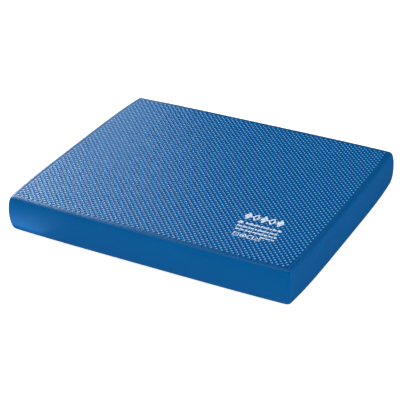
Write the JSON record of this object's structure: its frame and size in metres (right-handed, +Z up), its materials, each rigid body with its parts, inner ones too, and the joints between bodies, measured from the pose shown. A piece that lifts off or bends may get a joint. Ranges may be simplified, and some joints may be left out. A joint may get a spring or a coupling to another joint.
{
  "type": "balance pad",
  "caption": "Rectangular soft foam balance pad with embossed non-slip faces and smooth bulging sides, for standing exercises.",
  "frame": {"origin": "middle of the underside, on the surface that the pad lies on", "axes": "+Z up through the thickness, +X along the long sides, -Y out of the front long side"},
  "size_m": [0.5, 0.41, 0.06],
  "materials": {
    "embossed_skin": "satin",
    "side_skin": "satin",
    "foam_core": "matte",
    "print_ink": "matte"
  },
  "bodies": {
    "base": {"bottom_skin": "embossed_skin", "lower_core": "foam_core", "front_side_skin": "side_skin", "right_side_skin": "side_skin", "back_side_skin": "side_skin", "left_side_skin": "side_skin"},
    "top": {"top_skin": "embossed_skin", "upper_core": "foam_core"}
  },
  "joints": [
    {"name": "top_compression", "type": "slide", "parent": "base", "child": "top", "axis": [0, 0, -1], "range_m": [0, 0.024], "stiffness_N_per_m": 45000, "deforming": ["lower_core", "upper_core", "front_side_skin", "right_side_skin", "back_side_skin", "left_side_skin"]}
  ]
}
